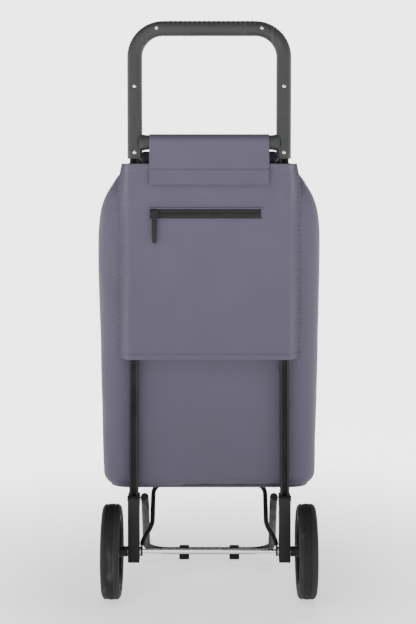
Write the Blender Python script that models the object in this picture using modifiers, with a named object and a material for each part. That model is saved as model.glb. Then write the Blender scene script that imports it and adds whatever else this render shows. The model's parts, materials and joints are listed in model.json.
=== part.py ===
"""Folding shopping trolley: channel frame, U handle, two wheels, folding foot and a fabric bag.

Units are metres, +Z is up, +X is right seen from behind, and +Y points from the frame to the bag.
The origin is on the floor under the middle of the whole object.
"""
import math

import bmesh
import bpy
from mathutils import Matrix, Vector

# ---------------------------------------------------------------- driving dimensions
GAP = 0.0003                 # gap kept between touching pieces
HEIGHT = 1.003
WHEEL_RADIUS = 0.0825
FOOT_FRONT = 0.267           # front of the foot, measured from the axle
AXLE_Y = -(FOOT_FRONT - WHEEL_RADIUS) / 2
AXLE = Vector((0, AXLE_Y, WHEEL_RADIUS))

UPRIGHT_X = 0.1315           # at the bottom; the uprights lean in towards the handle
UPRIGHT_TOP_X = 0.128
UPRIGHT_WIDTH = 0.016
UPRIGHT_DEPTH = 0.014
UPRIGHT_WALL = 0.0042
UPRIGHT_BOTTOM = 0.140
UPRIGHT_TOP = 0.900
GROOVE_DEPTH = 0.009

HANDLE_X = 0.128
HANDLE_RADIUS = 0.0130
HANDLE_WALL = 0.0022
HANDLE_OVAL = 0.030 / 0.026  # depth over width of the grip
HANDLE_BEND = 0.049
HANDLE_LEG_END = 0.767
CROSSBAR_Z = 0.795
CROSSBAR_RADIUS = 0.01275
CROSSBAR_FLARE = 0.0160
CROSSBAR_REACH = 0.121       # where the bar ends inside the leg
CROSSBAR_FLARE_START = 0.1045
SCREW_HEAD_RADIUS = 0.0032
SCREW_HEAD_HEIGHT = 0.0026
TOP_SCREW_X = 0.090
LEG_SCREW_HEIGHTS = (0.891, 0.778)

BRACKET_WIDTH = 0.020
BRACKET_REAR = -0.013
BRACKET_FRONT = 0.015
BRACKET_BOTTOM = 0.0655
FOOT_PIVOT = Vector((0, AXLE_Y + 0.020, 0.171))
PIVOT_EAR_RADIUS = 0.011
PIN_RADIUS = 0.003
PIN_HEAD_RADIUS = 0.0055
PIN_HEAD_HEIGHT = 0.0025

AXLE_RADIUS = 0.004
AXLE_HALF_LENGTH = 0.1855
WHEEL_INNER_X = 0.153
WHEEL_OUTER_X = 0.186
TYRE_INNER_RADIUS = 0.066
HUB_RADIUS = 0.009
HUB_INNER_X = 0.1425
HUB_OUTER_X = 0.1835
AXLE_WASHER_X = 0.1196
PUSH_NUT_X = 0.1843
BUSH_RADIUS = 0.0065
CAP_RADIUS = 0.0125
CAP_HEIGHT = 0.005
CAP_WALL = 0.003
WASHER_RADIUS = 0.008
WASHER_THICKNESS = 0.0014
PUSH_NUT_RADIUS = 0.0055
PUSH_NUT_THICKNESS = 0.0008
WINDOW_RADIUS = 0.0145
WINDOW_CIRCLE = 0.038
WINDOW_COUNT = 6

FOOT_RADIUS = 0.007
FOOT_ARM_X = 0.1130          # at the pivot; the arms spread towards the front
FOOT_FRONT_X = 0.1190
FOOT_BEND = 0.040
FOOT_BAR_Z = 0.014
PAD_X = 0.048
PAD_WIDTH = 0.019
PAD_HEIGHT = 0.024
PAD_DEPTH = 0.020

HOOP_RADIUS = 0.00425
HOOP_REACH = 0.1407          # from the axle to the bar under the bag
HOOP_ANGLE = math.radians(45)
HOOP_EYE_X = 0.1178
HOOP_EYE_THICKNESS = 0.003
HOOP_EYE_RADIUS = 0.0085
HOOP_SIDE_X = 0.1005
HOOP_BEND = 0.024
HOOP_BOW_START = 0.0135      # the arms bow inwards between these distances from the axle
HOOP_BOW_END = 0.062
HOOP_TONGUE = 0.021

BAG_BOTTOM = 0.188
BAG_REAR = AXLE_Y + 0.0125
BAG_FLOOR_RADIUS = 0.027     # rounding of the floor edge, in height and across
BAG_FLOOR_DEPTH_RADIUS = 0.012   # the same edge is tighter at the rear and front
BAG_CORNER_RADIUS = 0.040
BAG_WALL = 0.003
# height, half width, inset of the rear, distance of the front from the axle
BAG_SECTIONS = (
    (0.300, 0.1890, 0.0, 0.240),
    (0.420, 0.1918, 0.0, 0.243),
    (0.538, 0.1945, 0.0, 0.244),
    (0.600, 0.1955, 0.0, 0.244),
    (0.640, 0.1950, 0.0, 0.244),
    (0.668, 0.1932, 0.0, 0.243),
    (0.690, 0.1892, 0.0, 0.242),
    (0.706, 0.1838, 0.0, 0.240),
    (0.720, 0.1755, 0.0, 0.238),
    (0.734, 0.1640, 0.003, 0.234),
    (0.747, 0.1520, 0.010, 0.229),
    (0.757, 0.1430, 0.019, 0.222),
)
BAG_FLOOR_HALF_WIDTH = 0.1865
BAG_FLOOR_FRONT = 0.237

BOARD_HALF_WIDTH = 0.137
BOARD_THICKNESS = 0.003
BOARD_DEPTH = 0.198
BOARD_PIVOT = Vector((0, AXLE_Y + 0.0210, 0.1960))

SLEEVE_HALF_WIDTH = 0.147
SLEEVE_REAR = AXLE_Y - 0.0125
SLEEVE_FRONT = AXLE_Y + 0.0120
SLEEVE_WALL = 0.0018
SLEEVE_BOTTOM = 0.420
SLEEVE_TOP = 0.757

LID_HALF_WIDTH = 0.143
LID_THICKNESS = 0.003
LID_HINGE = Vector((0, AXLE_Y + 0.035, 0.764))
# middle line of the lid: distance from the axle and height
LID_LINE = ((0.035, 0.764), (0.060, 0.7720), (0.100, 0.7765), (0.140, 0.7780), (0.180, 0.7770),
            (0.212, 0.7725), (0.235, 0.7620), (0.2450, 0.7460), (0.2490, 0.7250), (0.2495, 0.660))
STUD_RADIUS = 0.005
STUD_X = 0.090
STUD_Z = 0.674

WRAP_HALF_WIDTH = 0.1030
WRAP_THICKNESS = 0.0015
WRAP_BOTTOM = 0.747
TAIL_BOTTOM = 0.723
TAIL_DROP = 0.002            # hinge of the tail below the middle of the crossbar

ZIP_Z = 0.673
ZIP_LEFT = -0.102
ZIP_RIGHT = 0.089
ZIP_HEIGHT = 0.016
ZIP_TAPE_THICKNESS = 0.001
SLIDER_SIZE = Vector((0.014, 0.0045, 0.0128))
SLIDER_X = -0.094
PULL_SIZE = Vector((0.0095, 0.002, 0.0475))
PULL_SLACK = 0.0004          # play between slider and pull
PULL_HINGE_Z = 0.6705

# ---------------------------------------------------------------- scene helpers


def clear_scene():
    for thing in list(bpy.data.objects):
        bpy.data.objects.remove(thing, do_unlink=True)


def make_collection(name):
    group = bpy.data.collections.new(name)
    bpy.context.scene.collection.children.link(group)
    return group


def material(name, colour, roughness, metallic=0.0):
    made = bpy.data.materials.new(name)
    made.use_nodes = True
    shader = made.node_tree.nodes["Principled BSDF"]
    shader.inputs["Base Color"].default_value = (*colour, 1)
    shader.inputs["Roughness"].default_value = roughness
    shader.inputs["Metallic"].default_value = metallic
    return made


def add_object(name, data, finish, parent=None, location=(0, 0, 0)):
    """Link an object whose place is given in world coordinates, also under a parent empty."""
    made = bpy.data.objects.new(name, data)
    PARTS.objects.link(made)
    made.location = location
    if parent is not None:
        made.parent = parent
        made.location = Vector(location) - parent.location
    if finish is not None:
        data.materials.append(finish)
    return made


def add_pivot(name, location):
    pivot = bpy.data.objects.new(name, None)
    PARTS.objects.link(pivot)
    pivot.location = location
    return pivot


def make_cutter(mesh, name, location=(0, 0, 0)):
    made = bpy.data.objects.new(name, mesh)
    CUTTERS.objects.link(made)
    made.location = location
    made.hide_render = True
    made.display_type = "WIRE"
    return made


def cut(target, cutter, operation="DIFFERENCE"):
    boolean = target.modifiers.new(cutter.name, "BOOLEAN")
    boolean.operation = operation
    boolean.solver = "EXACT"
    boolean.object = cutter


def round_edges(target, width, segments=2):
    bevel = target.modifiers.new("rounded", "BEVEL")
    bevel.width = width
    bevel.segments = segments
    bevel.limit_method = "ANGLE"
    bevel.angle_limit = math.radians(40)


def mesh_from(build):
    """Make a mesh from a function that fills a bmesh."""
    shape = bmesh.new()
    build(shape)
    mesh = bpy.data.meshes.new("shape")
    shape.to_mesh(mesh)
    shape.free()
    return mesh


def box_mesh(size):
    def build(shape):
        bmesh.ops.create_cube(shape, size=1)
        bmesh.ops.scale(shape, vec=size, verts=shape.verts)
    return mesh_from(build)


def rod_mesh(radius, length, axis="X", segments=20, places=((0, 0, 0),)):
    """Round bars of one size along an axis, one at each place."""
    turns = {"X": Matrix.Rotation(math.pi / 2, 4, "Y"), "Y": Matrix.Rotation(math.pi / 2, 4, "X"),
             "Z": Matrix.Identity(4)}

    def build(shape):
        for place in places:
            bmesh.ops.create_cone(shape, cap_ends=True, segments=segments, radius1=radius,
                                  radius2=radius, depth=length,
                                  matrix=Matrix.Translation(place) @ turns[axis])
    return mesh_from(build)


def turned(name, profile, finish, parent, location, side=1, closed=True, steps=40):
    """Turn a (radius, height) profile about X; side -1 faces it towards -X."""
    def build(shape):
        verts = [shape.verts.new((radius, 0, height)) for radius, height in profile]
        for first, second in zip(verts, verts[1:]):
            shape.edges.new((first, second))
        if closed:
            shape.edges.new((verts[-1], verts[0]))
    made = add_object(name, mesh_from(build), finish, parent, location)
    made.rotation_euler = (0, side * math.pi / 2, 0)
    screw = made.modifiers.new("turned", "SCREW")
    screw.axis = "Z"
    screw.steps = steps
    screw.render_steps = steps
    screw.use_merge_vertices = True
    screw.merge_threshold = 0.00001
    return made


def extruded(name, outline, thickness, finish, parent=None, location=(0, 0, 0), holes=()):
    """Extrude a (y, z) outline along X, centred on its location."""
    curve = bpy.data.curves.new(name, "CURVE")
    curve.dimensions = "2D"
    curve.fill_mode = "BOTH"
    curve.extrude = thickness / 2
    for loop in (outline, *holes):
        spline = curve.splines.new("POLY")
        spline.points.add(len(loop) - 1)
        for point, (y, z) in zip(spline.points, loop):
            point.co = (y, z, 0, 1)
        spline.use_cyclic_u = True
    made = add_object(name, curve, None, None, (0, 0, 0))
    turn = Matrix(((0, 0, 1, 0), (1, 0, 0, 0), (0, 1, 0, 0), (0, 0, 0, 1)))
    mesh = mesh_of(made)
    mesh.transform(turn)
    return add_object(name, mesh, finish, parent, location)


def mesh_of(made):
    """Take the welded mesh of a curve object and remove the curve."""
    bpy.context.view_layer.update()
    evaluated = made.evaluated_get(bpy.context.evaluated_depsgraph_get())
    mesh = bpy.data.meshes.new_from_object(evaluated)
    bpy.data.objects.remove(made, do_unlink=True)
    shape = bmesh.new()
    shape.from_mesh(mesh)
    bmesh.ops.remove_doubles(shape, verts=shape.verts, dist=0.00001)
    bmesh.ops.recalc_face_normals(shape, faces=shape.faces)
    shape.to_mesh(mesh)
    shape.free()
    return mesh


def tube_mesh(points, radius, resolution=4):
    """Round bar along points, with filled ends."""
    curve = bpy.data.curves.new("tube", "CURVE")
    curve.dimensions = "3D"
    curve.bevel_depth = radius
    curve.bevel_resolution = resolution
    curve.use_fill_caps = True
    spline = curve.splines.new("POLY")
    spline.points.add(len(points) - 1)
    for point, place in zip(spline.points, points):
        point.co = (*place, 1)
    return mesh_of(add_object("tube", curve, None))


def arc(centre, radius, start, end, steps):
    """Points of an arc in a plane, angles in degrees."""
    angles = [math.radians(start + (end - start) * i / steps) for i in range(steps + 1)]
    return [(centre[0] + radius * math.cos(a), centre[1] + radius * math.sin(a)) for a in angles]


def offset_band(line, thickness):
    """Outline of a strip of even thickness about an open middle line."""
    upper = []
    lower = []
    for i, point in enumerate(line):
        before = Vector(line[max(i - 1, 0)])
        after = Vector(line[min(i + 1, len(line) - 1)])
        along = (after - before).normalized()
        normal = Vector((-along.y, along.x)) * thickness / 2
        upper.append(tuple(Vector(point) + normal))
        lower.append(tuple(Vector(point) - normal))
    return upper + lower[::-1]


# ---------------------------------------------------------------- frame and handle


def make_uprights():
    half = UPRIGHT_WIDTH / 2
    rear = -UPRIGHT_DEPTH / 2
    floor = rear + GROOVE_DEPTH
    inner = half - UPRIGHT_WALL
    section = ((-half, rear), (-inner, rear), (-inner, floor), (inner, floor), (inner, rear),
               (half, rear), (half, -rear), (-half, -rear))
    length = UPRIGHT_TOP - UPRIGHT_BOTTOM

    def build(shape):
        low = [shape.verts.new((x, y, 0)) for x, y in section]
        face = shape.faces.new(low)
        grown = bmesh.ops.extrude_face_region(shape, geom=[face])
        raised = [item for item in grown["geom"] if isinstance(item, bmesh.types.BMVert)]
        bmesh.ops.translate(shape, vec=(0, 0, length), verts=raised)
        bmesh.ops.recalc_face_normals(shape, faces=shape.faces)
    mesh = mesh_from(build)
    mesh.materials.append(BLACK_METAL)
    lean = math.atan2(UPRIGHT_X - UPRIGHT_TOP_X, length)
    for side, sign in SIDES:
        upright = add_object(f"upright_{side}", mesh, None, None,
                             (sign * UPRIGHT_X, AXLE_Y, UPRIGHT_BOTTOM))
        upright.rotation_euler = (0, -sign * lean, 0)


def handle_line(leg_end):
    """Middle line of the U handle, in x and z."""
    top = HEIGHT - HANDLE_RADIUS
    bend_x = HANDLE_X - HANDLE_BEND
    bend_z = top - HANDLE_BEND
    left = arc((-bend_x, bend_z), HANDLE_BEND, 180, 90, 7)
    right = arc((bend_x, bend_z), HANDLE_BEND, 90, 0, 7)
    return [(-HANDLE_X, leg_end)] + left + right + [(HANDLE_X, leg_end)]


def handle_bar(radius, leg_end):
    points = [(x, 0, z) for x, z in handle_line(leg_end)]
    mesh = tube_mesh(points, radius, 6)
    mesh.transform(Matrix.Diagonal((1, HANDLE_OVAL, 1, 1)))
    return mesh


def screw_places():
    return [(sign * x, AXLE_Y, z) for sign in (-1, 1)
            for x, z in [(TOP_SCREW_X, HEIGHT - HANDLE_RADIUS)]
            + [(HANDLE_X, height) for height in LEG_SCREW_HEIGHTS]]


def make_handle():
    depth = HANDLE_RADIUS * HANDLE_OVAL
    hollow = make_cutter(handle_bar(HANDLE_RADIUS - HANDLE_WALL, HANDLE_LEG_END - 0.02),
                         "handle_hollow", (0, AXLE_Y, 0))
    holes = make_cutter(rod_mesh(SCREW_HEAD_RADIUS + GAP, 0.012, "Y", 12, screw_places()),
                        "screw_holes", (0, -depth, 0))
    for name, sign in (("handle_rear_shell", 1), ("handle_front_shell", -1)):
        shell = add_object(name, handle_bar(HANDLE_RADIUS, HANDLE_LEG_END), GREY_PLASTIC, None,
                           (0, AXLE_Y, 0))
        cut(shell, hollow)
        half = make_cutter(box_mesh((0.4, 0.1, 0.5)), f"{name}_half",
                           (0, AXLE_Y + sign * (0.05 - GAP / 2), 0.9))
        cut(shell, half)
        if sign > 0:
            cut(shell, holes)
    shoulder = SCREW_HEAD_HEIGHT * 0.7
    head = ((0, SCREW_HEAD_HEIGHT), (SCREW_HEAD_RADIUS * 0.8, SCREW_HEAD_HEIGHT),
            (SCREW_HEAD_RADIUS, shoulder), (SCREW_HEAD_RADIUS, 0), (0, 0))
    for number, place in enumerate(screw_places(), 1):
        screw = turned(f"handle_screw_{number}", head, CHROME, None,
                       (place[0], AXLE_Y - depth + HANDLE_WALL, place[2]), 1, False, 12)
        screw.rotation_euler = (math.pi / 2, 0, 0)


def make_crossbar():
    reach = CROSSBAR_REACH
    flare = CROSSBAR_FLARE_START
    growth = CROSSBAR_FLARE - CROSSBAR_RADIUS
    shares = (1, 0.75, 0.5, 0.25, 0)
    end = [(CROSSBAR_RADIUS + growth * share ** 2, flare + (reach - flare) * share)
           for share in shares]
    profile = [(0, reach)] + end + [(radius, -along) for radius, along in end[::-1]] + [(0, -reach)]
    bar = turned("handle_crossbar", profile, GREY_PLASTIC, None, (0, AXLE_Y, CROSSBAR_Z), 1,
                 False, 28)
    for side, sign in SIDES:
        mesh = rod_mesh(HANDLE_RADIUS + GAP, 0.08, "Z", 32)
        mesh.transform(Matrix.Diagonal((1, HANDLE_OVAL, 1, 1)))
        cut(bar, make_cutter(mesh, f"leg_{side}", (sign * HANDLE_X, AXLE_Y, CROSSBAR_Z)))


# ---------------------------------------------------------------- running gear


def make_brackets():
    ear_y = FOOT_PIVOT.y - AXLE_Y
    ear = arc((ear_y, FOOT_PIVOT.z), PIVOT_EAR_RADIUS, -90, 90, 8)
    chamfer = 0.004
    outline = [(BRACKET_REAR, BRACKET_BOTTOM), (BRACKET_FRONT, BRACKET_BOTTOM),
               (BRACKET_FRONT, FOOT_PIVOT.z - PIVOT_EAR_RADIUS - 0.006)] + ear
    outline += [(BRACKET_REAR + chamfer, FOOT_PIVOT.z + PIVOT_EAR_RADIUS),
                (BRACKET_REAR, FOOT_PIVOT.z + PIVOT_EAR_RADIUS - chamfer)]
    pin_hole = arc((ear_y, FOOT_PIVOT.z), PIN_RADIUS + GAP, 0, 345, 23)
    axle_hole = arc((0, WHEEL_RADIUS), AXLE_RADIUS + GAP, 0, 345, 23)
    socket_depth = UPRIGHT_DEPTH + 2 * GAP
    socket_width = UPRIGHT_WIDTH + 4 * GAP
    for side, sign in SIDES:
        bracket = extruded(f"wheel_bracket_{side}", outline, BRACKET_WIDTH, BLACK_PLASTIC, None,
                           (sign * UPRIGHT_X, AXLE_Y, 0), (pin_hole, axle_hole))
        socket = make_cutter(box_mesh((socket_width, socket_depth, 0.1)), f"socket_{side}",
                             (sign * UPRIGHT_X, AXLE_Y, UPRIGHT_BOTTOM - GAP + 0.05))
        cut(bracket, socket)


def make_axle():
    bar = add_object("axle", rod_mesh(AXLE_RADIUS, 2 * AXLE_HALF_LENGTH, "X", 24), CHROME, None,
                     AXLE)
    round_edges(bar, 0.0006, 1)
    for side, sign in SIDES:
        inner = AXLE_RADIUS + GAP
        washer = ((inner, WASHER_THICKNESS), (WASHER_RADIUS, WASHER_THICKNESS),
                  (WASHER_RADIUS, 0), (inner, 0))
        turned(f"axle_washer_{side}", washer, CHROME, None,
               AXLE + Vector((sign * AXLE_WASHER_X, 0, 0)), sign, True, 20)
        push_nut = ((inner, PUSH_NUT_THICKNESS), (PUSH_NUT_RADIUS, PUSH_NUT_THICKNESS),
                    (PUSH_NUT_RADIUS, 0), (inner, 0))
        turned(f"axle_push_nut_{side}", push_nut, CHROME, None,
               AXLE + Vector((sign * PUSH_NUT_X, 0, 0)), sign, True, 20)


def tyre_profile():
    shoulder = 0.009
    low = WHEEL_INNER_X
    high = WHEEL_OUTER_X
    centre = WHEEL_RADIUS - shoulder
    outer_corner = arc((high - shoulder, centre), shoulder, 0, 90, 4)
    inner_corner = arc((low + shoulder, centre), shoulder, 90, 180, 4)
    sides = [(radius, x) for x, radius in outer_corner + inner_corner]
    return [(TYRE_INNER_RADIUS, high - 0.002)] + sides + [(TYRE_INNER_RADIUS, low + 0.002)]


def rim_profile():
    rim_outer = TYRE_INNER_RADIUS - GAP
    rim_inner = rim_outer - 0.006
    bore = BUSH_RADIUS + GAP
    web = 0.003
    middle = (WHEEL_INNER_X + WHEEL_OUTER_X) / 2
    outer_face = WHEEL_OUTER_X - 0.003
    inner_face = WHEEL_INNER_X + 0.003
    hub_outer = HUB_OUTER_X
    return ((bore, hub_outer), (HUB_RADIUS + 0.004, hub_outer), (HUB_RADIUS + 0.005, middle + web),
            (rim_inner, middle + web), (rim_inner, outer_face), (rim_outer, outer_face),
            (rim_outer, inner_face), (rim_inner, inner_face), (rim_inner, middle - web),
            (HUB_RADIUS + 0.005, middle - web), (HUB_RADIUS, inner_face), (HUB_RADIUS, HUB_INNER_X),
            (bore, HUB_INNER_X))


def make_wheels():
    windows = [(0, WINDOW_CIRCLE * math.cos(turn), WINDOW_CIRCLE * math.sin(turn))
               for turn in (2 * math.pi * i / WINDOW_COUNT for i in range(WINDOW_COUNT))]
    bush_inner = AXLE_RADIUS + GAP
    bush_end = HUB_OUTER_X - GAP
    bush_start = HUB_INNER_X + GAP
    bush = ((bush_inner, bush_end), (BUSH_RADIUS, bush_end), (BUSH_RADIUS, bush_start),
            (bush_inner, bush_start))
    base = HUB_OUTER_X + GAP
    recess = base + CAP_HEIGHT - CAP_WALL + 0.0004
    cap = ((0, base + CAP_HEIGHT), (CAP_RADIUS * 0.56, base + CAP_HEIGHT * 0.9),
           (CAP_RADIUS * 0.88, base + CAP_HEIGHT * 0.6), (CAP_RADIUS, base),
           (CAP_RADIUS - CAP_WALL, base), (CAP_RADIUS - CAP_WALL - 0.001, recess), (0, recess))
    for side, sign in SIDES:
        pivot = add_pivot(f"wheel_pivot_{side}", AXLE)
        turned(f"tyre_{side}", tyre_profile(), RUBBER, pivot, AXLE, sign, True, 40)
        rim = turned(f"wheel_rim_{side}", rim_profile(), BLACK_PLASTIC, pivot, AXLE, sign, True, 36)
        place = AXLE + Vector((sign * (WHEEL_INNER_X + WHEEL_OUTER_X) / 2, 0, 0))
        cut(rim, make_cutter(rod_mesh(WINDOW_RADIUS, 0.02, "X", 16, windows), f"windows_{side}",
                             place))
        turned(f"hub_bush_{side}", bush, CHROME, pivot, AXLE, sign, True, 24)
        turned(f"hub_cap_{side}", cap, BLACK_PLASTIC, pivot, AXLE, sign, False, 24)


# ---------------------------------------------------------------- foot and hoop


def slanted(origin, angle, x, along):
    """Place in the plane through an origin that rises at an angle towards the front."""
    return origin + Vector((x, along * math.cos(angle), along * math.sin(angle)))


def u_line(half_width, reach, bend, start):
    """Half of a U in its own plane: x and distance from the pivot, right side, outwards."""
    corner = arc((half_width - bend, reach - bend), bend, 0, 90, 6)
    return start + corner


def mirrored_line(half):
    return half + [(-x, along) for x, along in reversed(half)]


def make_foot():
    bar_y = AXLE_Y + FOOT_FRONT - FOOT_RADIUS
    reach = math.hypot(bar_y - FOOT_PIVOT.y, FOOT_PIVOT.z - FOOT_BAR_Z)
    angle = math.atan2(FOOT_BAR_Z - FOOT_PIVOT.z, bar_y - FOOT_PIVOT.y)
    half = u_line(FOOT_FRONT_X, reach, FOOT_BEND, [(FOOT_ARM_X, -0.010), (FOOT_ARM_X, 0.015)])
    origin = Vector((0, 0, 0))
    points = [slanted(origin, angle, x, along) for x, along in mirrored_line(half)]
    pivot = add_pivot("foot_pivot", FOOT_PIVOT)
    foot = add_object("foot_tube", tube_mesh(points, FOOT_RADIUS, 4), BLACK_METAL, pivot,
                      FOOT_PIVOT)
    bore = make_cutter(rod_mesh(PIN_RADIUS + GAP, 0.3, "X", 20), "foot_bore", FOOT_PIVOT)
    cut(foot, bore)
    tunnel = make_cutter(rod_mesh(FOOT_RADIUS + GAP, 0.2, "X", 24), "pad_tunnel",
                         (0, bar_y, FOOT_BAR_Z))
    for side, sign in SIDES:
        pad = add_object(f"foot_pad_{side}", box_mesh((PAD_WIDTH, PAD_DEPTH, PAD_HEIGHT)), RUBBER,
                         pivot, (sign * PAD_X, bar_y - 0.003, PAD_HEIGHT / 2))
        round_edges(pad, 0.0018, 2)
        cut(pad, tunnel)
        start = FOOT_ARM_X - FOOT_RADIUS + GAP
        shank_end = UPRIGHT_X + BRACKET_WIDTH / 2 + GAP
        end = shank_end + PIN_HEAD_HEIGHT
        profile = ((0, end), (PIN_HEAD_RADIUS * 0.8, end), (PIN_HEAD_RADIUS, shank_end),
                   (PIN_RADIUS, shank_end), (PIN_RADIUS, start), (0, start))
        turned(f"foot_pivot_pin_{side}", profile, CHROME, None, FOOT_PIVOT, sign, False, 20)


def make_hoop():
    steps = 8
    first_x = HOOP_EYE_X - 0.0008
    start = []
    for step in range(steps + 1):
        share = step / steps
        eased = share * share * (3 - 2 * share)
        start.append((first_x + (HOOP_SIDE_X - first_x) * eased,
                      HOOP_BOW_START + (HOOP_BOW_END - HOOP_BOW_START) * share))
    half = u_line(HOOP_SIDE_X, HOOP_REACH, HOOP_BEND, start)
    points = [slanted(Vector((0, 0, 0)), HOOP_ANGLE, x, along)
              for x, along in mirrored_line(half)]
    pivot = add_pivot("hoop_pivot", AXLE)
    hoop = add_object("support_hoop", tube_mesh(points, HOOP_RADIUS, 4), BLACK_METAL, pivot, AXLE)
    eye = arc((0, 0), HOOP_EYE_RADIUS, math.degrees(HOOP_ANGLE) + 30,
              math.degrees(HOOP_ANGLE) + 330, 16)
    for turn in (-13, 13):
        direction = HOOP_ANGLE + math.radians(turn)
        eye.append((HOOP_TONGUE * math.cos(direction), HOOP_TONGUE * math.sin(direction)))
    bore = make_cutter(rod_mesh(AXLE_RADIUS + GAP, 0.3, "X", 24), "hoop_bore", AXLE)
    for side, sign in SIDES:
        plate = extruded(f"eye_{side}", eye, HOOP_EYE_THICKNESS, None)
        mesh = plate.data
        bpy.data.objects.remove(plate, do_unlink=True)
        cut(hoop, make_cutter(mesh, f"hoop_eye_{side}", AXLE + Vector((sign * HOOP_EYE_X, 0, 0))),
            "UNION")
    cut(hoop, bore)


# ---------------------------------------------------------------- bag


def ring(half_width, rear, front, radius, height, steps=4):
    """Rounded rectangle at a height, the same number of points at every size."""
    half_depth = (front - rear) / 2
    middle = (front + rear) / 2
    points = []
    for quarter, (sx, sy) in enumerate(((1, 1), (-1, 1), (-1, -1), (1, -1))):
        centre = (sx * (half_width - radius), middle + sy * (half_depth - radius))
        points += arc(centre, radius, 90 * quarter, 90 * quarter + 90, steps)
    return [Vector((x, y, height)) for x, y in points]


def bag_rings(wall):
    """Rings from the floor to the rim, drawn in by the wall thickness."""
    rings = []
    radius = BAG_FLOOR_RADIUS - wall
    corner = BAG_CORNER_RADIUS - wall
    for step in range(5):
        angle = math.radians(22.5 * step)
        inset = radius * (1 - math.sin(angle)) + wall
        inset_y = (BAG_FLOOR_DEPTH_RADIUS - wall) * (1 - math.sin(angle)) + wall
        height = BAG_BOTTOM + wall + radius * (1 - math.cos(angle))
        rings.append(ring(BAG_FLOOR_HALF_WIDTH - inset, BAG_REAR + inset_y,
                          AXLE_Y + BAG_FLOOR_FRONT - inset_y, corner, height))
    for height, half_width, rear_inset, front in BAG_SECTIONS:
        rings.append(ring(half_width - wall, BAG_REAR + rear_inset + wall, AXLE_Y + front - wall,
                          corner, height))
    return rings


def bridge(shape, first, second):
    count = len(first)
    for i in range(count):
        after = (i + 1) % count
        shape.faces.new((first[i], first[after], second[after], second[i]))


def make_bag():
    def build(shape):
        outer = [[shape.verts.new(point) for point in loop] for loop in bag_rings(0)]
        inner = [[shape.verts.new(point) for point in loop] for loop in bag_rings(BAG_WALL)]
        for loops in (outer, inner):
            shape.faces.new(loops[0])
            for low, high in zip(loops, loops[1:]):
                bridge(shape, low, high)
        bridge(shape, outer[-1], inner[-1])
        bmesh.ops.recalc_face_normals(shape, faces=shape.faces)
    add_object("bag_body", mesh_from(build), FABRIC)


def make_base_board():
    pivot = add_pivot("board_pivot", BOARD_PIVOT)
    size = (2 * BOARD_HALF_WIDTH, BOARD_DEPTH, BOARD_THICKNESS)
    board = add_object("base_board", box_mesh(size), BLACK_PLASTIC, pivot,
                       BOARD_PIVOT + Vector((0, BOARD_DEPTH / 2, 0)))
    round_edges(board, 0.0008, 1)


def make_sleeve():
    outer = SLEEVE_HALF_WIDTH
    inner = outer - SLEEVE_WALL
    rear = SLEEVE_REAR
    section = ((-outer, SLEEVE_FRONT), (-outer, rear + 0.004), (-outer + 0.004, rear),
               (outer - 0.004, rear), (outer, rear + 0.004), (outer, SLEEVE_FRONT),
               (inner, SLEEVE_FRONT), (inner, rear + 0.005), (inner - 0.003, rear + SLEEVE_WALL),
               (0.003 - inner, rear + SLEEVE_WALL), (-inner, rear + 0.005), (-inner, SLEEVE_FRONT))

    def build(shape):
        face = shape.faces.new([shape.verts.new((x, y, SLEEVE_BOTTOM)) for x, y in section])
        grown = bmesh.ops.extrude_face_region(shape, geom=[face])
        raised = [item for item in grown["geom"] if isinstance(item, bmesh.types.BMVert)]
        bmesh.ops.translate(shape, vec=(0, 0, SLEEVE_TOP - SLEEVE_BOTTOM), verts=raised)
        bmesh.ops.recalc_face_normals(shape, faces=shape.faces)
    add_object("back_sleeve", mesh_from(build), FABRIC)


def make_lid():
    pivot = add_pivot("lid_pivot", LID_HINGE)
    line = [(AXLE_Y + along - LID_HINGE.y, height - LID_HINGE.z) for along, height in LID_LINE]
    extruded("lid_panel", offset_band(line, LID_THICKNESS), 2 * LID_HALF_WIDTH, FABRIC, pivot,
             LID_HINGE)
    stud = ((0, 0.0018), (STUD_RADIUS * 0.8, 0.0018), (STUD_RADIUS, 0.001), (STUD_RADIUS, 0),
            (0, 0))
    front = AXLE_Y + LID_LINE[-1][0] + LID_THICKNESS / 2 + GAP
    for side, sign in SIDES:
        made = turned(f"lid_stud_{side}", stud, BLACK_PLASTIC, pivot,
                      Vector((sign * STUD_X, front, STUD_Z)), 1, False, 16)
        made.rotation_euler = (-math.pi / 2, 0, 0)


def make_crossbar_strap():
    """Strap over the crossbar: its front runs to the bag, its tail hangs behind."""
    pivot_place = Vector((0, AXLE_Y, CROSSBAR_Z))
    radius = CROSSBAR_RADIUS + GAP + WRAP_THICKNESS / 2
    width = 2 * WRAP_HALF_WIDTH
    line = [(radius, WRAP_BOTTOM - CROSSBAR_Z)] + arc((0, 0), radius, 0, 178, 14)
    extruded("crossbar_wrap", offset_band(line, WRAP_THICKNESS), width, FABRIC, None, pivot_place)
    hinge_place = pivot_place + Vector((0, -radius, -TAIL_DROP))
    pivot = add_pivot("tail_pivot", hinge_place)
    tail = [(0, 0), (0, -0.030), (-0.0012, TAIL_BOTTOM - hinge_place.z)]
    extruded("flap_tail", offset_band(tail, WRAP_THICKNESS), width, FABRIC, pivot, hinge_place)


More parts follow.
